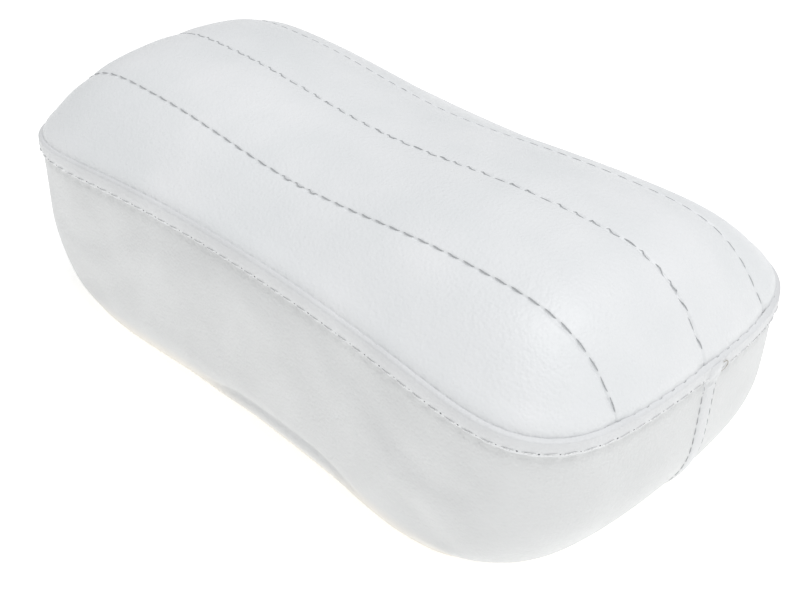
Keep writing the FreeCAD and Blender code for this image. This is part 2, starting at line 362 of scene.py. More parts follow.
@dataclass(frozen=True)
class StudioPaper:
    """White paper lit from below on a light table, so that shadows on it stay faint."""

    name: str = "studio_paper"
    colour: str = "fbfbfa"
    glow: float = 0.42

    def material(self) -> bpy.types.Material:
        """Build the node material."""
        made, tree, place, surface = new_material(self.name)
        fibre = add_node(tree, "ShaderNodeTexNoise", {"Scale": 90.0, "Detail": 4.0}, {"Vector": place})
        rough = add_node(tree, "ShaderNodeMapRange", {"To Min": 0.85, "To Max": 0.95},
                         {"Value": fibre.outputs["Fac"]})
        paper = add_node(tree, "ShaderNodeBsdfPrincipled", {
            "Base Color": linear(self.colour), "Specular IOR Level": 0.1,
            "Emission Color": linear(self.colour), "Emission Strength": self.glow},
            {"Roughness": rough.outputs["Result"]})
        tree.links.new(paper.outputs["BSDF"], surface)
        return made


class Finish(Enum):
    """Every finish on the cushion, named for what it is."""

    # One white faux leather in three copies with painted light and shade: the top copy is lighter and a
    # little cooler for the overhead light, and the side and strip copies are darker for the shade on the
    # walls.
    TOP_LEATHER = FauxLeather("faux_leather_top_painted_light", light="ecedee", shade="e6e8e9")
    # The side's warm tint below 15 mm is painted bounce light from the paper.
    SIDE_LEATHER = FauxLeather("faux_leather_side_painted_shade", light="dfe0e0", shade="d8d9d9", bounce_light_below_mm=15.0)
    EDGE_LEATHER = FauxLeather("faux_leather_edge_painted_shade", light="e1e2e3", shade="dadbdc")
    # Grey thread of the top and join rows; on the edge seam, whose thread is white, the grey is painted
    # shade.
    GREY_THREAD = SewingThread("polyester_thread_grey", "c0c2c4")
    PALE_THREAD = SewingThread("polyester_thread_pale", "eff0f0")
    # The loose thread is the grey thread painted darker and browner: painted shade for the shadow it
    # lies in beside the tab.
    BROWN_THREAD = SewingThread("polyester_thread_painted_shade", "b9b2a6")
    LINING = LiningCloth()
    FIRM_FOAM = OpenCellFoam("firm_foam", "e3d8b4")
    SOFT_FOAM = OpenCellFoam("soft_foam", "efece0", cell_mm=1.0)
    PLYWOOD = Plywood()
    WIRE = StapleWire()
    HOLE = NeedleHole()
    PAPER = StudioPaper()


class Wardrobe:
    """Keeps one material for each finish."""

    made: dict[Finish, bpy.types.Material] = {}

    @classmethod
    def of(cls, finish: Finish) -> bpy.types.Material:
        """Give the finish's material, built on first use."""
        if finish not in cls.made:
            cls.made[finish] = finish.value.material()
        return cls.made[finish]


# ---------------------------------------------------------------------------
# The cushion's shape
# ---------------------------------------------------------------------------

@dataclass(frozen=True)
class CushionForm:
    """Outer shape of the cover, in metres: plan, seam, saddle top and rounded-under side."""

    half_length: float
    floor: float
    seam_level: float
    crest: float
    half_width: float = 75.0 * MM
    end_bow: float = 6.0 * MM
    waist: float = 7.5 * MM
    corner_span: float = 66.0 * MM
    corner_power: float = 4.2
    seam_fall: float = 6.5 * MM
    dip_depth: float = 5.0 * MM
    hump_reach: float = 76.5 * MM
    crown: float = 12.0 * MM
    edge_power: float = 4.4
    under_end: float = 42.0 * MM
    under_side: float = 8.0 * MM
    under_corner: float = 9.0 * MM
    near_seam: float = -40.0 * MM
    middle_seam: float = 2.0 * MM
    far_seam: float = 40.0 * MM
    strip_side: float = 7.8 * MM
    strip_end: float = 6.4 * MM

    @classmethod
    def from_frame(cls) -> "CushionForm":
        """Read the sizes that the frame gives and keep the rest as they are."""
        band_low, band_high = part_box("side_band")
        strip_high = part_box("rolled_edge")[1]
        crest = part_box("top_panel_inner_left")[1].z
        seams = [(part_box(one)[1].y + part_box(other)[0].y) / 2 for one, other in (
            ("top_panel_left", "top_panel_inner_left"),
            ("top_panel_inner_left", "top_panel_inner_right"),
            ("top_panel_inner_right", "top_panel_right"))]
        return cls(half_length=band_high.x - cls.end_bow, floor=band_low.z,
                   seam_level=strip_high.z + 0.5 * MM, crest=crest,
                   near_seam=seams[0], middle_seam=seams[1], far_seam=seams[2])

    @property
    def top_seams(self) -> tuple[float, float, float]:
        """Places of the three top seams across the width."""
        return self.near_seam, self.middle_seam, self.far_seam

    def strip_depth(self, x: np.ndarray) -> np.ndarray:
        """Height of the rolled strip, a little narrower round the ends."""
        end = np.clip((np.abs(x) - self.half_length + 45 * MM) / (40 * MM), 0, 1)
        return self.strip_side + (self.strip_end - self.strip_side) * end

    def bowed(self, x: np.ndarray, y: np.ndarray, half_length: float | np.ndarray,
              half_width: float | np.ndarray) -> tuple[np.ndarray, np.ndarray]:
        """Turn a straight-sided plan into the bowed and waisted one.

        Args:
            x: Places along the cushion.
            y: Places across it.
            half_length: Half length of the plan that the places belong to.
            half_width: Half width of that plan.

        Returns:
            The moved places.
        """
        along = np.minimum((x / half_length) ** 2, 1)
        across = np.minimum((y / half_width) ** 2, 1)
        return (x * (1 + self.end_bow / half_length * (1 - across)),
                y * (1 - self.waist / half_width * (1 - along)))

    def plan(self, p: np.ndarray, q: np.ndarray, half_length: float | np.ndarray,
             half_width: float | np.ndarray) -> tuple[np.ndarray, np.ndarray]:
        """Map a unit square onto a rounded plan before it is bowed.

        Args:
            p: Places from -1 to 1 along the cushion.
            q: Places from -1 to 1 across it.
            half_length: Half length of the plan.
            half_width: Half width of the plan.

        Returns:
            Straight-sided x and y.
        """
        span, power = self.corner_span, self.corner_power
        x, y = np.abs(p) * half_length, np.abs(q) * half_width
        in_x = np.clip((x - half_length + span) / span, 0, 1)
        in_y = np.clip((y - half_width + span) / span, 0, 1)
        x = np.minimum(x, half_length - span) + span * in_x * (1 - in_y ** power / 2) ** (1 / power)
        y = np.minimum(y, half_width - span) + span * in_y * (1 - in_x ** power / 2) ** (1 / power)
        return np.sign(p) * x, np.sign(q) * y

    def edge_share(self, x: np.ndarray, y: np.ndarray) -> np.ndarray:
        """0 on the flat middle of the plan and 1 on the seam."""
        end = np.maximum(np.abs(x) - self.half_length + self.corner_span, 0) / self.corner_span
        side = np.maximum(np.abs(y) - self.half_width + self.corner_span, 0) / self.corner_span
        return (end ** self.corner_power + side ** self.corner_power) ** (1 / self.corner_power)

    def seam_height(self, x: np.ndarray) -> np.ndarray:
        """Height of the seam of top and side."""
        return self.seam_level - self.seam_fall * (x / self.half_length) ** 2

    def top_height(self, x: np.ndarray, y: np.ndarray) -> np.ndarray:
        """Height of the top surface over a straight-sided place."""
        reach = np.minimum(np.abs(x) / self.hump_reach, 1)
        rise = self.dip_depth * (np.sin(np.pi / 2 * reach) ** 2 - 1)
        crest = self.crest + rise - self.crown * (y / self.half_width) ** 2
        seam = self.seam_height(x)
        return seam + (crest - seam) * (1 - self.edge_share(x, y) ** self.edge_power)

    @staticmethod
    def under(height: np.ndarray, radius: float | np.ndarray) -> np.ndarray:
        """How far a rounding has come in at a height above its lowest point."""
        left = np.maximum(radius - height, 0)
        return radius - np.sqrt(np.maximum(radius ** 2 - left ** 2, 0))

    def side(self, p: np.ndarray, q: np.ndarray, share: np.ndarray,
             outset: float | np.ndarray = 0.0) -> np.ndarray:
        """Points on the side wall.

        Args:
            p: Places along the edge of the unit square.
            q: The same, across.
            share: 0 at the seam and 1 at the edge of the flat bottom.
            outset: How far out of the wall the points stand.

        Returns:
            An array of points.
        """
        seam_x, _ = self.plan(p, q, self.half_length, self.half_width)
        height = (self.seam_height(seam_x) - self.floor) * (1 - share) ** 1.5
        half_length = self.half_length - self.under(height, self.under_end) + outset
        half_width = self.half_width - self.under(height, self.side_round(p)) + outset
        x, y = self.bowed(*self.plan(p, q, half_length, half_width), half_length, half_width)
        return np.stack([x, y, height + self.floor], axis=1)

    def side_round(self, p: np.ndarray) -> np.ndarray:
        """Radius of the rounding under the long sides, larger towards the corners."""
        return self.under_side + self.under_corner * np.abs(p) ** 6

    def top(self, p: np.ndarray, q: np.ndarray) -> np.ndarray:
        """Points on the top surface."""
        x, y = self.plan(p, q, self.half_length, self.half_width)
        place_x, place_y = self.bowed(x, y, self.half_length, self.half_width)
        return np.stack([place_x, place_y, self.top_height(x, y)], axis=1)

    def bottom(self, p: np.ndarray, q: np.ndarray, inset: float = 0.0) -> np.ndarray:
        """Points on the flat bottom, or on the same outline drawn in by an inset."""
        half_length = self.half_length - self.under_end - inset
        half_width = self.half_width - self.side_round(p) - inset
        x, y = self.bowed(*self.plan(p, q, half_length, half_width), half_length, half_width)
        return np.stack([x, y, np.full_like(x, self.floor)], axis=1)

    def seam_line(self, count: int = 1200) -> np.ndarray:
        """Closed line of points along the seam, evenly spaced, from the middle of the far end."""
        angle = np.linspace(0, 2 * np.pi, 4001)
        p, q = np.cos(angle), np.sin(angle)
        size = np.maximum(np.abs(p), np.abs(q))
        points = self.top(p / size, q / size)
        return resample(points, count)


def way_along(line: np.ndarray) -> np.ndarray:
    """Distance from a line's first point to each of its points, along the line."""
    return np.concatenate([[0.0], np.cumsum(np.linalg.norm(np.diff(line, axis=0), axis=1))])


def resample(points: np.ndarray, count: int) -> np.ndarray:
    """Space a line's points evenly.

    Args:
        points: The line, closed or open, as an array of points.
        count: How many steps the new line has.

    Returns:
        count + 1 points, with the ends of the old line.
    """
    way = way_along(points)
    wanted = np.linspace(0, way[-1], count + 1)
    return np.stack([np.interp(wanted, way, points[:, axis]) for axis in range(3)], axis=1)


# ---------------------------------------------------------------------------
# Small helpers for meshes
# ---------------------------------------------------------------------------

def deselect() -> None:
    """Leave nothing selected, in object mode."""
    if bpy.context.object and bpy.context.object.mode != "OBJECT":
        bpy.ops.object.mode_set(mode="OBJECT")
    bpy.ops.object.select_all(action="DESELECT")


def activate(piece: bpy.types.Object) -> None:
    """Select one object alone and make it the active one."""
    deselect()
    piece.select_set(True)
    bpy.context.view_layer.objects.active = piece


def coordinates(piece: bpy.types.Object) -> np.ndarray:
    """Read a mesh's points."""
    flat = np.empty(3 * len(piece.data.vertices))
    piece.data.vertices.foreach_get("co", flat)
    return flat.reshape(-1, 3)


def place(piece: bpy.types.Object, points: np.ndarray) -> None:
    """Write a mesh's points."""
    piece.data.vertices.foreach_set("co", points.ravel())
    piece.data.update()


def normals(piece: bpy.types.Object) -> np.ndarray:
    """Read a mesh's point normals."""
    flat = np.empty(3 * len(piece.data.vertices))
    piece.data.vertex_normals.foreach_get("vector", flat)
    return flat.reshape(-1, 3)


def apply_modifier(piece: bpy.types.Object, kind: str, **settings: object) -> None:
    """Add a modifier, set it and apply it.

    Args:
        piece: The object to change.
        kind: The modifier's type.
        **settings: Its attributes.
    """
    activate(piece)
    modifier = piece.modifiers.new(kind.lower(), kind)
    for name, value in settings.items():
        setattr(modifier, name, value)
    bpy.ops.object.modifier_apply(modifier=modifier.name)


def grid(name: str, columns: int, rows: int) -> bpy.types.Object:
    """Add a gridded unit square, from -1 to 1 both ways, to be bent into a piece."""
    deselect()
    bpy.ops.mesh.primitive_grid_add(x_subdivisions=columns, y_subdivisions=rows, size=2)
    bpy.context.object.name = name
    return bpy.context.object


def turn_outwards(piece: bpy.types.Object, merge: bool = False) -> None:
    """Make a mesh's faces point outwards, after joining doubled points if asked."""
    activate(piece)
    bpy.ops.object.mode_set(mode="EDIT")
    bpy.ops.mesh.select_all(action="SELECT")
    if merge:
        bpy.ops.mesh.remove_doubles(threshold=1e-6)
    bpy.ops.mesh.normals_make_consistent(inside=False)
    bpy.ops.object.mode_set(mode="OBJECT")


def duplicate(piece: bpy.types.Object, name: str) -> bpy.types.Object:
    """Copy an object with its own mesh."""
    copy = piece.copy()
    copy.data = piece.data.copy()
    copy.name = name
    bpy.context.collection.objects.link(copy)
    return copy


def keep_faces(piece: bpy.types.Object, wanted: Callable[[bmesh.types.BMFace], bool]) -> None:
    """Delete the faces that aren't wanted."""
    mesh = bmesh.new()
    mesh.from_mesh(piece.data)
    others = [face for face in mesh.faces if not wanted(face)]
    bmesh.ops.delete(mesh, geom=others, context="FACES")
    mesh.to_mesh(piece.data)
    mesh.free()


def joined(name: str, blocks: list[np.ndarray], faces: list[tuple[int, ...]]) -> bpy.types.Object:
    """Make one object of equal small shapes.

    Args:
        name: The object's name.
        blocks: Each shape's points.
        faces: The faces of one shape.

    Returns:
        The new object.
    """
    polygons = [tuple(corner + len(block) * index for corner in face)
                for index, block in enumerate(blocks) for face in faces]
    mesh = bpy.data.meshes.new(name)
    mesh.from_pydata(np.vstack(blocks).tolist(), [], polygons)
    piece = bpy.data.objects.new(name, mesh)
    bpy.context.collection.objects.link(piece)
    return piece


def nearest(points: np.ndarray, line: np.ndarray) -> tuple[np.ndarray, np.ndarray]:
    """Distance from points to a line of points, and the way along it.

    Args:
        points: Where to measure from.
        line: The line's points, finely spaced.

    Returns:
        The distances, and how far along the line each nearest place is.
    """
    tree = KDTree(len(line))
    for index, point in enumerate(line):
        tree.insert(point, index)
    tree.balance()
    way = way_along(line)
    found = [tree.find(point) for point in points]
    return np.array([hit[2] for hit in found]), np.array([way[hit[1]] for hit in found])


def wander(points: np.ndarray, size: float, seed: float) -> np.ndarray:
    """Smooth noise from -1 to 1 at points, with bumps of a given size.

    Args:
        points: Where to read it.
        size: Distance from bump to bump.
        seed: Moves the pattern.

    Returns:
        One value for each point.
    """
    offset = Vector((seed, 2 * seed, -seed))
    return np.array([noise.noise(Vector(point) / size + offset) for point in points])


def finish_piece(piece: bpy.types.Object, finish: Finish, slot: str, *nodes: str) -> None:
    """Dress a piece, let it ride on the frame and stand for its nodes.

    Args:
        piece: The finished object.
        finish: Its finish.
        slot: The record's material slot; not used.
        *nodes: The CAD nodes that it replaces.
    """
    piece.data.materials.clear()
    piece.data.materials.append(Wardrobe.of(finish))
    for polygon in piece.data.polygons:
        polygon.material_index = 0
    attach(piece, BODY)
    if nodes:
        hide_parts(*nodes)
    activate(piece)
    bpy.ops.object.shade_smooth_by_angle(angle=math.radians(50))
    LOG.info("%s: %d faces", piece.name, len(piece.data.polygons))


# ---------------------------------------------------------------------------
# Cover
# ---------------------------------------------------------------------------

class Region(Enum):
    """Which part of the cover a face belongs to."""

    TOP = 0
    SIDE = 1
    BOTTOM = 2


@dataclass
class StuffedCover:
    """The whole cover as one closed, stuffed shape, before it is cut into its panels."""

    form: CushionForm
    columns: int = 62
    rows: int = 32
    levels: int = 20
    hem_width: float = 16.0 * MM
    swell_cap: float = 2.2 * MM
    pressure: float = 4.0
    shell: bpy.types.Object | None = None
    coarse: bpy.types.Object | None = None

    def build(self) -> bpy.types.Object:
        """Make the closed shape, stuff it by cloth simulation and refine it."""
        self.shell = self._box()
        rest = self._shape()
        self._stuff(rest)
        self.coarse = self.shell.copy()
        self.coarse.data = self.shell.data.copy()
        self._refine()
        return self.shell

    def _box(self) -> bpy.types.Object:
        """A gridded box: two grids, one turned over, bridged by the side levels."""
        deselect()
        bpy.ops.mesh.primitive_grid_add(x_subdivisions=self.columns, y_subdivisions=self.rows, size=2,
                                        location=(0, 0, 1))
        upper = bpy.context.object
        bpy.ops.mesh.primitive_grid_add(x_subdivisions=self.columns, y_subdivisions=self.rows, size=2,
                                        location=(0, 0, -1))
        lower = bpy.context.object
        bpy.ops.object.mode_set(mode="EDIT")
        bpy.ops.mesh.select_all(action="SELECT")
        bpy.ops.mesh.flip_normals()
        bpy.ops.object.mode_set(mode="OBJECT")
        upper.select_set(True)
        bpy.context.view_layer.objects.active = lower
        bpy.ops.object.join()
        bpy.ops.object.transform_apply(location=True, rotation=True, scale=True)
        bpy.ops.object.mode_set(mode="EDIT")
        bpy.ops.mesh.select_mode(type="EDGE")
        bpy.ops.mesh.select_all(action="DESELECT")
        bpy.ops.mesh.select_non_manifold()
        bpy.ops.mesh.bridge_edge_loops(number_cuts=self.levels - 1)
        bpy.ops.object.mode_set(mode="OBJECT")
        lower.name = "stuffed_cover"
        return lower

    def _shape(self) -> np.ndarray:
        """Move the box's points onto the cushion's form and mark its regions."""
        unit = coordinates(self.shell)
        p, q, r = unit.T
        near = 1e-4
        on_top, on_bottom = r > 1 - near, r < -1 + near
        rim = np.maximum(np.abs(p), np.abs(q)) > 1 - near
        points = np.empty_like(unit)
        points[on_top] = self.form.top(p[on_top], q[on_top])
        points[on_bottom] = self.form.bottom(p[on_bottom], q[on_bottom])
        wall = ~(on_top | on_bottom)
        points[wall] = self.form.side(p[wall], q[wall], (1 - r[wall]) / 2)
        place(self.shell, points)
        for material in range(3):
            self.shell.data.materials.append(None)
        for polygon in self.shell.data.polygons:
            corners = list(polygon.vertices)
            region = Region.SIDE
            if all(on_top[corners]):
                region = Region.TOP
            elif all(on_bottom[corners]) and not self._in_hem(p[corners].mean(), q[corners].mean()):
                region = Region.BOTTOM
            polygon.material_index = region.value
        self.seam_ring = on_top & rim
        self.share = (1 - r) / 2
        self.on_bottom = on_bottom
        turn_outwards(self.shell)
        return points

    def _in_hem(self, p: float, q: float) -> bool:
        """Tell whether a place on the bottom belongs to the turned-in hem."""
        length = self.form.half_length - self.form.under_end
        width = self.form.half_width - self.form.under_side
        return abs(p) > 1 - self.hem_width / length or abs(q) > 1 - self.hem_width / width

    def _stuff(self, rest: np.ndarray) -> None:
        """Blow the cover up a little by cloth simulation, held along its seams.

        Args:
            rest: The points before the simulation.
        """
        copy = self.shell.copy()
        copy.data = self.shell.data.copy()
        bpy.context.collection.objects.link(copy)
        hold = copy.vertex_groups.new(name="sewn")
        seams = np.min([np.abs(rest[:, 1] - seam) for seam in self.form.top_seams], axis=0)
        top = self.share < 1e-4
        weight = np.where(top, 0.9 * np.exp(-(seams / (4 * MM)) ** 2), 0.0)
        drop = self.form.seam_height(rest[:, 0]) - rest[:, 2]
        strip = self.form.strip_depth(rest[:, 0]) + 2 * MM
        weight = np.where(~top & (drop < strip), 1.0, weight)
        weight = np.where(self.seam_ring | self.on_bottom, 1.0, weight)
        for index, value in enumerate(weight):
            if value > 0.02:
                hold.add([index], float(value), "REPLACE")
        activate(copy)
        cloth = copy.modifiers.new("cloth", "CLOTH")
        cloth.settings.quality = 5
        cloth.settings.mass = 0.35
        cloth.settings.tension_stiffness = 25
        cloth.settings.compression_stiffness = 18
        cloth.settings.bending_stiffness = 2.0
        cloth.settings.vertex_group_mass = hold.name
        cloth.settings.use_pressure = True
        cloth.settings.uniform_pressure_force = self.pressure
        cloth.settings.effector_weights.gravity = 0.0
        cloth.collision_settings.use_self_collision = False
        scene = bpy.context.scene
        for step in range(1, 21):
            scene.frame_set(step)
        bpy.ops.object.modifier_apply(modifier=cloth.name)
        moved = coordinates(copy) - rest
        scene.frame_set(1)
        size = np.linalg.norm(moved, axis=1)
        LOG.info("stuffing moved the cover by up to %.2f mm", size.max() / MM)
        share = np.minimum(1, self.swell_cap / np.maximum(size, 1e-9))
        place(self.shell, rest + moved * share[:, None])
        bpy.data.objects.remove(copy)

    def _refine(self) -> None:
        """Subdivide twice, with the seam kept as a sharp line."""
        mesh = self.shell.data
        crease = mesh.attributes.new("crease_edge", "FLOAT", "EDGE")
        ends = np.empty(2 * len(mesh.edges), dtype=int)
        mesh.edges.foreach_get("vertices", ends)
        sharp = self.seam_ring[ends].reshape(-1, 2).all(axis=1)
        crease.data.foreach_set("value", sharp.astype(float))
        apply_modifier(self.shell, "SUBSURF", levels=2, render_levels=2)

    def part(self, name: str, region: Region) -> bpy.types.Object:
        """Copy one region of the cover into its own object.

        Args:
            name: The new object's name.
            region: Which faces to keep.

        Returns:
            The new object.
        """
        copy = duplicate(self.shell, name)
        copy.data.name = name
        keep_faces(copy, lambda face: face.material_index == region.value)
        return copy


@dataclass
class TopPanels:
    """Four lengthwise panels of the top, with sewn grooves between them."""

    form: CushionForm
    groove_width: float = 0.55 * MM
    groove_depth: float = 0.75 * MM
    valley_width: float = 5.0 * MM
    valley_depth: float = 0.5 * MM
    stitch_pitch: float = 6.6 * MM
    thickness: float = 1.2 * MM
    pieces: list[bpy.types.Object] = field(default_factory=list)

    def build(self, cover: StuffedCover) -> None:
        """Cut the top into panels, press the grooves in and give each panel its thickness.

        Args:
            cover: The stuffed cover, whose top region is used.
        """
        whole = cover.part("top", Region.TOP)
        self._score(whole)
        self._press(whole)
        near, middle, far = self.form.top_seams
        cuts = {"left": (-1.0, near), "inner_left": (near, middle), "inner_right": (middle, far),
                "right": (far, 1.0)}
        for name, (low, high) in cuts.items():
            self.pieces.append(self._panel(whole, name, low, high))
        bpy.data.objects.remove(whole)

    def _score(self, whole: bpy.types.Object) -> None:
        """Cut clean edges along the seams and beside them, so the grooves are crisp."""
        mesh = bmesh.new()
        mesh.from_mesh(whole.data)
        for seam in self.form.top_seams:
            for step in (-2.4, -1.4, -0.7, 0.0, 0.7, 1.4, 2.4):
                near = [vertex for vertex in mesh.verts if abs(vertex.co.y - seam) < 8 * MM]
                faces = list({face for vertex in near for face in vertex.link_faces})
                edges = list({edge for face in faces for edge in face.edges})
                corners = list({vertex for face in faces for vertex in face.verts})
                bmesh.ops.bisect_plane(mesh, geom=corners + edges + faces, dist=1e-6,
                                       plane_co=(0, seam + step * self.groove_width, 0),
                                       plane_no=(0, 1, 0))
        mesh.to_mesh(whole.data)
        mesh.free()

    def _press(self, whole: bpy.types.Object) -> None:
        """Press the seams and the sewn rim into the surface."""
        points, facing = coordinates(whole), normals(whole)
        depth = np.zeros(len(points))
        for index, seam in enumerate(self.form.top_seams):
            off = np.abs(points[:, 1] - seam)
            pull = 0.75 + 0.25 * np.cos(2 * np.pi * (points[:, 0] / self.stitch_pitch + 0.3 * index))
            depth += self.groove_depth * pull * np.exp(-(off / self.groove_width) ** 2)
            depth += self.valley_depth * np.exp(-(off / self.valley_width) ** 2)
        rim, way = nearest(points, self.form.seam_line())
        tug = 0.5 + 0.5 * np.cos(2 * np.pi * way / (6.0 * MM))
        depth += (0.8 + 0.35 * tug) * MM * np.exp(-(rim / (1.3 * MM)) ** 2)
        depth -= 0.45 * MM * np.exp(-((rim - 4.5 * MM) / (3.0 * MM)) ** 2)
        depth += 0.3 * MM * wander(points, 46 * MM, 3.1)
        place(whole, points - facing * depth[:, None])

    def _panel(self, whole: bpy.types.Object, name: str, low: float, high: float) -> bpy.types.Object:
        """Copy one panel out of the top and thicken it inwards.

        Args:
            whole: The pressed top.
            name: The panel's name.
            low: Its edge towards the near side.
            high: Its edge towards the far side.

        Returns:
            The finished panel.
        """
        copy = duplicate(whole, f"cover_top_{name}")
        keep_faces(copy, lambda face: low < face.calc_center_median().y < high)
        apply_modifier(copy, "SOLIDIFY", thickness=self.thickness, offset=-1, use_even_offset=False)
        finish_piece(copy, Finish.TOP_LEATHER, "cover_top", f"top_panel_{name}")
        return copy


@dataclass
class SideBand:
    """Deep side wall that rounds under, with soft folds where it is pulled below the board."""

    form: CushionForm
    thickness: float = 1.2 * MM
    row_pitch: float = 7.0 * MM
    row_dent: float = 0.7 * MM
    wave_depth: float = 0.4 * MM
    end_zone: float = 52.0 * MM
    long_fold_middle: float = 20.0 * MM
    long_fold_reach: float = 40.0 * MM
    fold_level: float = 8.5 * MM
    long_fold_rise: float = 7.0 * MM
    ripple_depth: float = 0.5 * MM
    piece: bpy.types.Object | None = None

    def build(self, cover: StuffedCover) -> None:
        """Take the wall and the hem from the cover and work the folds into them.

        Args:
            cover: The stuffed cover.
        """
        wall = cover.part("side_wall", Region.SIDE)
        self._press(wall)
        apply_modifier(wall, "SOLIDIFY", thickness=self.thickness, offset=-1, use_even_offset=False)
        finish_piece(wall, Finish.SIDE_LEATHER, "cover_side", "side_band")
        self.piece = wall

    def _press(self, wall: bpy.types.Object) -> None:
        """Add the stitched row's dents, long soft waves, and the fold and roll above the floor."""
        points, facing = coordinates(wall), normals(wall)
        line = self.form.seam_line()
        _, way = nearest(points * (1, 1, 0), line * (1, 1, 0))
        x, y, z = points.T
        row = self.form.seam_height(x) - z - self.form.strip_depth(x)
        dent = 0.6 + 0.4 * np.cos(2 * np.pi * way / self.row_pitch)
        depth = self.row_dent * dent * np.exp(-(row / (1.6 * MM)) ** 2)
        free = np.clip(row / (6 * MM), 0, 1) * np.clip(z / (3 * MM), 0, 1)
        depth -= free * self.wave_depth * wander(points * (1, 1, 2.0), 60 * MM, 1.7)
        at_end = np.clip((np.abs(x) - self.form.half_length + self.end_zone) / (22 * MM), 0, 1)
        on_side = (1 - at_end) * np.exp(-((x - self.long_fold_middle) / self.long_fold_reach) ** 4)
        fold = self.fold_level + (self.long_fold_rise + 0.035 * x) * on_side
        fold = fold + 1.2 * MM * wander(points * (1, 1, 0), 30 * MM, 5.5)
        by_corner = 0.55 + 0.45 * np.clip(y / (30 * MM), -1, 1) ** 2
        strength = np.clip(at_end * by_corner + on_side, 0, 1)
        crease = np.exp(-((z - fold) / (1.5 * MM)) ** 2)
        roll = np.exp(-((z - fold + 4.0 * MM) / (2.6 * MM)) ** 2)
        depth += strength * MM * ((0.8 + 0.8 * at_end) * crease - (1.0 + 0.7 * at_end) * roll)
        ripple = wander(np.stack([way, np.zeros_like(way), 0.4 * z], axis=1), 21 * MM, 9.2)
        low = np.clip(1 - z / (26 * MM), 0, 1) * np.clip(z / (2.5 * MM), 0, 1)
        depth -= self.ripple_depth * low * ripple
        moved = points - facing * depth[:, None]
        moved[:, 2] = np.maximum(moved[:, 2], self.form.floor)
        place(wall, moved)


@dataclass
class RolledEdge:
    """Narrow strip folded over and stitched down, proud of the side all round."""

    form: CushionForm
    steps: int = 1260
    around: int = 16
    pitch: float = 7.0 * MM
    piece: bpy.types.Object | None = None

    def profile(self, share: np.ndarray, pinch: np.ndarray,
                depth: np.ndarray) -> tuple[np.ndarray, np.ndarray]:
        """Cross-section of the strip: how far out and how far down.

        Args:
            share: 0 at the seam, 1 at the stitched lower edge.
            pinch: 1 where a stitch pulls the strip in, 0 half way between.
            depth: Height of the strip at each place.

        Returns:
            Outset and drop, in metres.
        """
        angle = np.pi * share
        bulge = np.sin(angle) ** 0.5
        ridge = 0.45 * np.exp(-((share - 0.15) / 0.08) ** 2)
        face = 1.25 + ridge - 0.35 * share - 0.45 * pinch * share ** 3
        out = (-0.9 + (face + 0.9) * bulge) * MM
        down = depth * (0.5 - 0.5 * np.cos(angle)) - 0.1 * MM
        return out, down

    def build(self) -> None:
        """Bend a fine grid into the strip."""
        piece = grid("rolled_edge_strip", self.steps, self.around)
        unit = coordinates(piece)
        line = self.form.seam_line(self.steps)
        flat = np.diff(np.vstack([line, line[1:2]]), axis=0)[:, :2]
        outward = np.stack([flat[:, 1], -flat[:, 0]], axis=1)
        outward /= np.linalg.norm(outward, axis=1)[:, None]
        index = np.rint((unit[:, 0] + 1) / 2 * self.steps).astype(int)
        way = index / self.steps * line_length(line)
        pinch = 0.5 + 0.5 * np.cos(2 * np.pi * way / whole_pitch(line_length(line), self.pitch))
        base = line[index]
        out, down = self.profile((1 - unit[:, 1]) / 2, pinch, self.form.strip_depth(base[:, 0]))
        points = np.empty_like(unit)
        points[:, :2] = base[:, :2] + outward[index] * out[:, None]
        points[:, 2] = base[:, 2] - down
        place(piece, points)
        turn_outwards(piece, merge=True)
        apply_modifier(piece, "SOLIDIFY", thickness=0.5 * MM, offset=-1, use_even_offset=False)
        finish_piece(piece, Finish.EDGE_LEATHER, "edge_strip", "rolled_edge")
        self.piece = piece


def line_length(line: np.ndarray) -> float:
    """Length of a line of points."""
    return float(np.linalg.norm(np.diff(line, axis=0), axis=1).sum())


def whole_pitch(length: float, pitch: float) -> float:
    """The pitch nearest to the wanted one that fits a length a whole number of times."""
    return length / round(length / pitch)


# ---------------------------------------------------------------------------
# Stitches
# ---------------------------------------------------------------------------

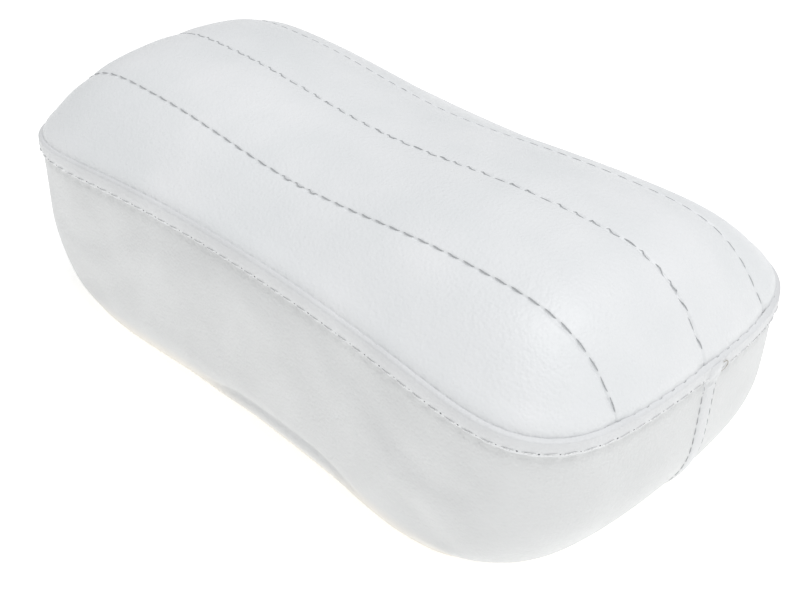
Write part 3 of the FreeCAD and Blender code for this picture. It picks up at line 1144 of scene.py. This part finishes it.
@dataclass
class StitchRow:
    """A row of separate stitches that dip into the surface at both ends."""

    name: str
    node: str
    slot: str
    finish: Finish
    length: float
    pitch: float
    radius: float = 0.3 * MM
    sides: int = 6
    rings: int = 4
    sink: float = 0.9
    slant: float = 0.0

    def one(self) -> tuple[np.ndarray, list[tuple[int, ...]]]:
        """Model one stitch from a cylinder with rounded, sunken ends.

        Returns:
            Its points, along X from -0.5 to 0.5 with the radius as unit, and its faces.
        """
        deselect()
        bpy.ops.mesh.primitive_cylinder_add(vertices=self.sides, radius=1, depth=1, end_fill_type="NGON",
                                            rotation=(0, math.pi / 2, 0))
        thread = bpy.context.object
        bpy.ops.object.transform_apply(location=False, rotation=True, scale=False)
        mesh = bmesh.new()
        mesh.from_mesh(thread.data)
        for cut in range(1, self.rings + 1):
            x = cut / (self.rings + 1) - 0.5
            bmesh.ops.bisect_plane(mesh, geom=mesh.verts[:] + mesh.edges[:] + mesh.faces[:], dist=1e-6,
                                   plane_co=(x, 0, 0), plane_no=(1, 0, 0))
        mesh.to_mesh(thread.data)
        mesh.free()
        points = coordinates(thread)
        thick = 0.45 + 0.55 * np.sqrt(np.maximum(1 - (2 * points[:, 0]) ** 4, 0))
        points[:, 1] *= thick
        points[:, 2] *= thick
        faces = [tuple(polygon.vertices) for polygon in thread.data.polygons]
        bpy.data.objects.remove(thread)
        return points, faces

    def build(self, line: np.ndarray, surface: "Surface", closed: bool) -> bpy.types.Object:
        """Lay stitches along a line, each resting on the surface below it.

        Args:
            line: The row's line, a little above or on the surface.
            surface: What the row lies on.
            closed: Whether the row comes back to its start.

        Returns:
            The row as one object.
        """
        shape, faces = self.one()
        length = line_length(line)
        pitch = whole_pitch(length, self.pitch) if closed else self.pitch
        way = way_along(line)
        count = int(round(length / pitch)) if closed else int(length / pitch)
        points = []
        for index in range(count):
            middle = (index + 0.5) * pitch
            jitter = 0.06 * self.length * math.sin(12.9 * index + len(self.name))
            start, end = middle - self.length / 2 + jitter, middle + self.length / 2 + jitter
            spots = [np.array([np.interp(s, way, line[:, axis]) for axis in range(3)])
                     for s in np.linspace(start, end, 5)]
            rest = [surface.under(spot) for spot in spots]
            along = rest[-1][0] - rest[0][0]
            size = np.linalg.norm(along)
            if size < 1e-6:
                continue
            along /= size
            up = rest[2][1]
            side = np.cross(up, along)
            side /= np.linalg.norm(side)
            turned = along * math.cos(self.slant) + side * math.sin(self.slant)
            side = np.cross(up, turned)
            side /= np.linalg.norm(side)
            t = shape[:, 0] + 0.5
            base = np.stack([np.interp(t, np.linspace(0, 1, 5), [r[0][axis] for r in rest])
                             for axis in range(3)], axis=1)
            base += (turned - along) * ((t - 0.5) * size)[:, None]
            arch = self.radius * (0.75 - (self.sink + 0.75) * (2 * t - 1) ** 4)
            points.append(base + side * (shape[:, 1] * self.radius)[:, None]
                          + up * (arch + shape[:, 2] * self.radius)[:, None])
        piece = joined(self.name, points, faces)
        turn_outwards(piece)
        finish_piece(piece, self.finish, self.slot, self.node)
        return piece


@dataclass
class NeedleHoles:
    """Small dark pits where the thread goes through the leather, between the stitches."""

    name: str
    slot: str
    pitch: float
    radius: float = 0.34 * MM

    def build(self, line: np.ndarray, surface: "Surface", closed: bool) -> bpy.types.Object:
        """Sink a short plug at every gap of a row, with its top just above the leather.

        Args:
            line: The row's line.
            surface: What the row lies on.
            closed: Whether the row comes back to its start.

        Returns:
            The pits as one object.
        """
        deselect()
        bpy.ops.mesh.primitive_uv_sphere_add(segments=8, ring_count=4, radius=1)
        plug = bpy.context.object
        shape = coordinates(plug) * (1, 1, 0.35)
        faces = [tuple(polygon.vertices) for polygon in plug.data.polygons]
        bpy.data.objects.remove(plug)
        length = line_length(line)
        pitch = whole_pitch(length, self.pitch) if closed else self.pitch
        way = way_along(line)
        count = int(round(length / pitch)) if closed else int(length / pitch)
        points = []
        for index in range(count):
            spot = np.array([np.interp(index * pitch, way, line[:, axis]) for axis in range(3)])
            middle, up = surface.under(spot)
            side = np.cross(up, (0.3, 0.5, 0.8))
            side /= np.linalg.norm(side)
            size = self.radius * (0.9 + 0.25 * math.sin(7.7 * index))
            turned = np.stack([side, np.cross(up, side), up])
            points.append(middle - up * 0.02 * MM + shape @ turned * size)
        piece = joined(self.name, points, faces)
        finish_piece(piece, Finish.HOLE, self.slot)
        return piece


class Surface:
    """Finds the place on finished pieces that lies under a point."""

    def __init__(self, *pieces: bpy.types.Object) -> None:
        """Gather the pieces' faces into one search tree."""
        mesh = bmesh.new()
        for piece in pieces:
            mesh.from_mesh(piece.data)
        self.tree = BVHTree.FromBMesh(mesh)
        mesh.free()

    def under(self, point: np.ndarray) -> tuple[np.ndarray, np.ndarray]:
        """Nearest place on the surface and the direction it faces."""
        spot, normal, _, _ = self.tree.find_nearest(Vector(point))
        return np.array(spot), np.array(normal)


@dataclass
class BandJoin:
    """Cover strip over the meeting ends of the side band, on the near short end."""

    form: CushionForm
    width: float = 7.0 * MM
    proud: float = 0.7 * MM
    piece: bpy.types.Object | None = None

    def line(self, y: float, outset: float) -> np.ndarray:
        """Line down the short end at one place across it."""
        share = np.linspace(0.07, 0.86, 80)
        q = np.full_like(share, y / self.form.half_width)
        return self.form.side(np.ones_like(share), q, share, outset)

    @property
    def centre(self) -> float:
        """Middle of the strip across the width, from the frame."""
        low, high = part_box("band_join")
        return (low.y + high.y) / 2

    def build(self, surface: Surface) -> None:
        """Lay a fine grid on the short end and press its stitched edges in.

        Args:
            surface: The side band.
        """
        piece = grid("band_join_strip", 14, 120)
        unit = coordinates(piece)
        across = unit[:, 0]
        down = (1 - unit[:, 1]) / 2
        middle = resample(self.line(self.centre, 0.0), 120)
        index = np.rint(down * 120).astype(int)
        base = middle[index]
        points = base + np.stack([0 * across, across * self.width / 2, 0 * across], axis=1)
        made = []
        for point, edge, share in zip(points, np.abs(across), down):
            spot, normal = surface.under(point)
            pinch = 0.5 + 0.5 * math.cos(2 * math.pi * share * 16)
            lift = self.proud * (1 - edge ** 4) - 0.15 * MM * edge ** 4 * pinch
            made.append(spot + normal * lift)
        place(piece, np.array(made))
        turn_outwards(piece)
        if np.mean(normals(piece)[:, 0]) < 0:
            piece.data.flip_normals()
        apply_modifier(piece, "SOLIDIFY", thickness=0.5 * MM, offset=-1, use_even_offset=False)
        finish_piece(piece, Finish.EDGE_LEATHER, "edge_strip", "band_join")
        self.piece = piece


@dataclass
class LoopEnd:
    """Folded end of the cover strip, lapped over the rolled edge, with a loose thread."""

    form: CushionForm
    width: float = 8.0 * MM
    drop: float = 11.0 * MM

    def build(self, centre: float, surface: Surface) -> None:
        """Lay a small padded tab over the strip and a loose thread beside it.

        Args:
            centre: Place of the tab across the width.
            surface: The side band and the rolled strip.
        """
        tab = grid("join_loop_end", 26, 34)
        unit = coordinates(tab)
        across, down = unit[:, 0], (1 - unit[:, 1]) / 2
        seam = self.form.top(np.array([1.0]), np.array([centre / self.form.half_width]))[0]
        round_top = np.sqrt(np.clip(1 - (np.clip(0.42 - down, 0, 1) / 0.42) ** 2.4, 0, 1))
        y = centre + across * (0.35 + 0.65 * round_top) * self.width / 2
        z = seam[2] + 0.3 * MM - down * self.drop
        x = np.full_like(y, seam[0] + 2.5 * MM)
        made = []
        for point, side, share in zip(np.stack([x, y, z], axis=1), across, down):
            spot, normal = surface.under(point)
            edge = max(abs(side), abs(2 * share - 1)) ** 6
            fold = 0.22 * MM * math.sin(9 * share + 2.5 * side) * (1 - edge)
            made.append(spot + normal * (0.75 * MM * (1 - edge) + fold - 0.1 * MM * edge))
        place(tab, np.array(made))
        if np.mean(normals(tab)[:, 0]) < 0:
            tab.data.flip_normals()
        apply_modifier(tab, "SOLIDIFY", thickness=0.45 * MM, offset=-1, use_even_offset=False)
        finish_piece(tab, Finish.EDGE_LEATHER, "edge_strip")
        self._thread(seam, centre, surface)

    def _thread(self, seam: np.ndarray, centre: float, surface: Surface) -> None:
        """A short frayed end of thread that curls out beside the tab.

        Args:
            seam: The seam point above the tab.
            centre: Place of the tab across the width.
            surface: What the thread lies on.
        """
        turn = np.linspace(0, 1, 24)
        side = centre + self.width / 2 + 3.2 * MM * np.sin(np.pi * turn)
        height = seam[2] - 1.5 * MM - 6.0 * MM * turn + 0.8 * MM * np.sin(7 * turn)
        line = []
        for y, z in zip(side, height):
            spot, normal = surface.under(np.array([seam[0] + 2.0 * MM, y, z]))
            line.append(spot + normal * 0.25 * MM)
        curve = bpy.data.curves.new("loose_thread", "CURVE")
        curve.dimensions = "3D"
        curve.bevel_depth = 0.12 * MM
        curve.bevel_resolution = 1
        spline = curve.splines.new("POLY")
        spline.points.add(len(line) - 1)
        for point, spot in zip(spline.points, line):
            point.co = (*spot, 1.0)
        thread = bpy.data.objects.new("loose_thread", curve)
        bpy.context.collection.objects.link(thread)
        activate(thread)
        bpy.ops.object.convert(target="MESH")
        # Its darker, brownish finish is painted shade.
        finish_piece(bpy.context.object, Finish.BROWN_THREAD, "grey_thread")


@dataclass
class Seams:
    """Every visible row of stitches."""

    form: CushionForm

    def build(self, top: TopPanels, band: SideBand, edge: RolledEdge, join: BandJoin) -> None:
        """Lay all the rows on the finished cover.

        Args:
            top: The four panels.
            band: The side wall.
            edge: The rolled strip.
            join: The cover strip on the short end.
        """
        on_top = Surface(*top.pieces)
        on_side = Surface(band.piece, edge.piece)
        on_join = Surface(band.piece, join.piece)
        grey, pale = Finish.GREY_THREAD, Finish.PALE_THREAD
        for node, seam in zip(("left", "middle", "right"), self.form.top_seams):
            row = StitchRow(f"top_stitches_{node}", f"stitches_top_{node}", "grey_thread", grey,
                            5.6 * MM, 6.6 * MM, radius=0.19 * MM)
            row.build(self.top_line(seam), on_top, closed=False)
        # The edge seam's thread is white; its grey finish is painted shade for the dark line along the
        # seam.
        StitchRow("edge_seam_stitches", "stitches_edge_seam", "white_thread", grey, 2.2 * MM, 6.0 * MM,
                  radius=0.22 * MM).build(self.form.seam_line(), on_top, closed=True)
        band_line = self.band_line()
        StitchRow("band_row_stitches", "stitches_band_row", "white_thread", pale, 5.6 * MM, 7.0 * MM,
                  radius=0.27 * MM, slant=0.09).build(band_line, on_side, closed=True)
        NeedleHoles("band_row_holes", "edge_strip", 7.0 * MM).build(band_line, on_side, closed=True)
        for node, way in (("left", -1), ("right", 1)):
            line = join.line(join.centre + way * join.width / 2, 0.3 * MM)
            StitchRow(f"join_stitches_{node}", f"stitches_join_{node}", "grey_thread", grey, 3.7 * MM,
                      4.2 * MM, radius=0.17 * MM).build(line, on_join, closed=False)
        LoopEnd(self.form).build(join.centre, on_side)

    def top_line(self, y: float) -> np.ndarray:
        """Line along the top at one place across the width."""
        form = self.form
        x = np.linspace(-1, 1, 800) * (form.half_length + form.end_bow)
        waist = form.waist / form.half_width * (1 - np.minimum((x / form.half_length) ** 2, 1))
        straight = y / (1 - waist)
        bow = 1 + form.end_bow / form.half_length * (1 - (straight / form.half_width) ** 2)
        inside = np.abs(x / bow) < form.half_length - 0.8 * MM
        x, straight, bow = x[inside], straight[inside], bow[inside]
        return np.stack([x, np.full_like(x, y), form.top_height(x / bow, straight)], axis=1)

    def band_line(self) -> np.ndarray:
        """Closed line along the lower edge of the rolled strip."""
        line = self.form.seam_line()
        line[:, 2] -= self.form.strip_depth(line[:, 0]) - 1.3 * MM
        middle = line.mean(axis=0)
        return line + (line - middle) * (1, 1, 0) * 0.03


@dataclass
class Inside:
    """Foam, board and cloth within the cover."""

    form: CushionForm
    cloth_margin: float = 4.0 * MM

    def build(self, cover: StuffedCover) -> None:
        """Model the soft pieces and dress the hard ones.

        Args:
            cover: The stuffed cover, whose shape the foam fills.
        """
        self._comfort(cover)
        self._core(cover)
        self._cloth()
        for node, finish in (("base_board", Finish.PLYWOOD), ("staples", Finish.WIRE)):
            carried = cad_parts[node]
            carried.data.materials.clear()
            carried.data.materials.append(Wardrobe.of(finish))
            for polygon in carried.data.polygons:
                polygon.material_index = 0

    def _comfort(self, cover: StuffedCover) -> None:
        """The soft sheet under the top panels, closed and 8 mm thick."""
        sheet = duplicate(cover.coarse, "comfort_foam")
        keep_faces(sheet, lambda face: face.material_index == Region.TOP.value)
        place(sheet, coordinates(sheet) - normals(sheet) * 3.4 * MM)
        apply_modifier(sheet, "SOLIDIFY", thickness=8.0 * MM, offset=-1, use_even_offset=False)
        points = coordinates(sheet)
        place(sheet, points + normals(sheet) * 0.2 * MM * wander(points, 6 * MM, 4.4)[:, None])
        finish_piece(sheet, Finish.SOFT_FOAM, "soft_foam", "comfort_layer")

    def _core(self, cover: StuffedCover) -> None:
        """The firm block under it, standing on the board."""
        core = duplicate(cover.coarse, "core_foam")
        low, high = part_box("foam_core")
        points = coordinates(core) - normals(core) * 4.0 * MM
        floor, crest = points[:, 2].min(), points[:, 2].max()
        points[:, 2] = low.z + (points[:, 2] - floor) * (high.z - 3.0 * MM - low.z) / (crest - floor)
        points[:, :2] *= 0.985
        points += 0.25 * MM * wander(points, 7 * MM, 2.2)[:, None]
        place(core, points)
        finish_piece(core, Finish.FIRM_FOAM, "firm_foam", "foam_core")

    def _cloth(self) -> None:
        """Thin lining cloth over the hem, gently puckered where the staples hold it."""
        cloth = grid("lining_cloth", 90, 60)
        unit = coordinates(cloth)
        points = self.form.bottom(unit[:, 0], unit[:, 1], self.cloth_margin)
        edge = np.maximum(np.abs(unit[:, 0]), np.abs(unit[:, 1]))
        pucker = wander(points, 14 * MM, 8.8) * edge ** 4 + 0.4 * wander(points, 40 * MM, 6.1)
        points[:, 2] = 0.36 * MM + 0.2 * MM * np.clip(pucker, -1, 1)
        place(cloth, points)
        apply_modifier(cloth, "SOLIDIFY", thickness=0.3 * MM, offset=0, use_even_offset=False)
        finish_piece(cloth, Finish.LINING, "bottom_cloth", "bottom_cloth")


# ---------------------------------------------------------------------------
# Studio
# ---------------------------------------------------------------------------

@dataclass(frozen=True)
class SoftBox:
    """A square light that looks at the origin."""

    name: str
    spot: tuple[float, float, float]
    size: float
    power: float

    def build(self, colour: tuple[float, float, float]) -> None:
        """Hang the light."""
        light = bpy.data.lights.new(self.name, "AREA")
        light.size = self.size
        light.energy = self.power
        light.color = colour
        lamp = bpy.data.objects.new(self.name, light)
        lamp.location = self.spot
        lamp.rotation_euler = Vector(self.spot).to_track_quat("Z", "Y").to_euler()
        bpy.context.collection.objects.link(lamp)


@dataclass(frozen=True)
class Studio:
    """Bright paper table, one soft box overhead and a medium-long lens."""

    azimuth: float = 45.9
    elevation: float = 35.63
    roll: float = 0.39
    distance: float = 0.45245
    aim: tuple[float, float, float] = (0.02545, -0.03149, 0.050)
    lens: float = 56.25
    shift: tuple[float, float] = (0.0472, 0.0169)
    boxes: tuple[SoftBox, ...] = (SoftBox("box_above", (0.32, 0.0, 1.57), 1.0, 12.5),
                                  SoftBox("box_right", (1.3, -0.1, 0.9), 0.8, 1.2))
    room_glow: float = 0.50
    room_colour: tuple[float, float, float, float] = (0.985, 0.99, 1.0, 1.0)

    def build(self) -> None:
        """Make floor, lights, world and camera."""
        self._floor()
        for box in self.boxes:
            box.build(self.room_colour[:3])
        self._world()
        self._camera()

    def _floor(self) -> None:
        """A wide sheet of paper under the cushion."""
        deselect()
        bpy.ops.mesh.primitive_plane_add(size=6, location=(0, 0, 0))
        floor = bpy.context.object
        floor.name = "paper_floor"
        floor.data.materials.append(Wardrobe.of(Finish.PAPER))

    def _world(self) -> None:
        """Even, dim and slightly cool surroundings."""
        world = bpy.data.worlds.new("pale_room")
        world.use_nodes = True
        back = world.node_tree.nodes["Background"]
        back.inputs["Color"].default_value = self.room_colour
        back.inputs["Strength"].default_value = self.room_glow
        bpy.context.scene.world = world
        bpy.context.scene.view_settings.view_transform = "Standard"

    def _camera(self) -> None:
        """Look down at the near corner."""
        turn, tilt = math.radians(self.azimuth), math.radians(self.elevation)
        level = math.cos(tilt)
        back = Vector((math.sin(turn) * level, -math.cos(turn) * level, math.sin(tilt)))
        lens = bpy.data.cameras.new("camera")
        lens.lens = self.lens
        lens.sensor_width = 36
        lens.clip_start = 0.01
        lens.shift_x, lens.shift_y = self.shift
        camera = bpy.data.objects.new("camera", lens)
        camera.location = Vector(self.aim) + back * self.distance
        roll = Matrix.Rotation(math.radians(self.roll), 3, "Z")
        turned = back.to_track_quat("Z", "Y").to_matrix() @ roll
        camera.rotation_euler = turned.to_euler()
        bpy.context.collection.objects.link(camera)
        bpy.context.scene.camera = camera


def main() -> None:
    """Build the cushion's pieces in order and set the scene."""
    form = CushionForm.from_frame()
    cover = StuffedCover(form)
    cover.build()
    top = TopPanels(form)
    top.build(cover)
    band = SideBand(form)
    band.build(cover)
    edge = RolledEdge(form)
    edge.build()
    join = BandJoin(form)
    join.build(Surface(band.piece))
    Seams(form).build(top, band, edge, join)
    Inside(form).build(cover)
    bpy.data.objects.remove(cover.shell)
    bpy.data.objects.remove(cover.coarse)
    Studio().build()


if __name__ == "__main__":
    main()
